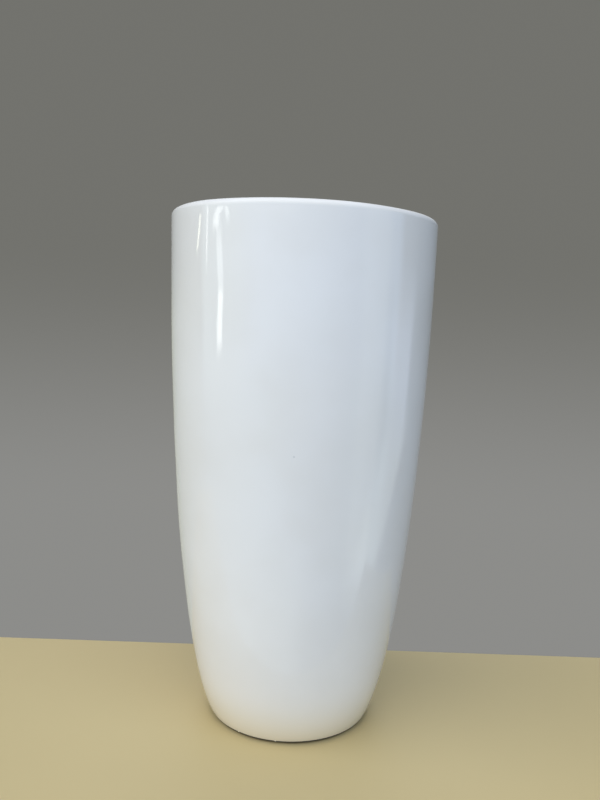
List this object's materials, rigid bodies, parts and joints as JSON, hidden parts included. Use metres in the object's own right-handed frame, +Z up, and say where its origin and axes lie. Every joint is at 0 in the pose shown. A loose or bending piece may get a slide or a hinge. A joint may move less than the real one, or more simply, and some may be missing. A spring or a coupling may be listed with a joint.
{
  "type": "tall round floor planter",
  "caption": "Tall tapered round floor planter with a smooth gloss moulded shell, rolled rim, ring foot on pads, and a bunged drain hole.",
  "frame": {"origin": "centre of the ground plane under the foot pads, on the planter's axis", "axes": "+Z up along the planter's axis; -Y towards the viewer of the picture; +X to that viewer's right"},
  "size_m": [0.3658, 0.3656, 0.7025],
  "materials": {
    "gloss_shell": "gloss lacquer on a moulded laminate",
    "bung_rubber": "moulded, satin",
    "pad_rubber": "fine-pored, matt"
  },
  "bodies": {
    "pot": {"pot_shell": "gloss_shell", "foot_pad_front": "pad_rubber", "foot_pad_right": "pad_rubber", "foot_pad_back": "pad_rubber", "foot_pad_left": "pad_rubber"},
    "bung": {"drain_bung": "bung_rubber"}
  },
  "joints": [
    {"name": "bung_lift", "type": "slide", "parent": "pot", "child": "bung", "axis": [0, 0, 1], "range_m": [0, 0.72]}
  ]
}
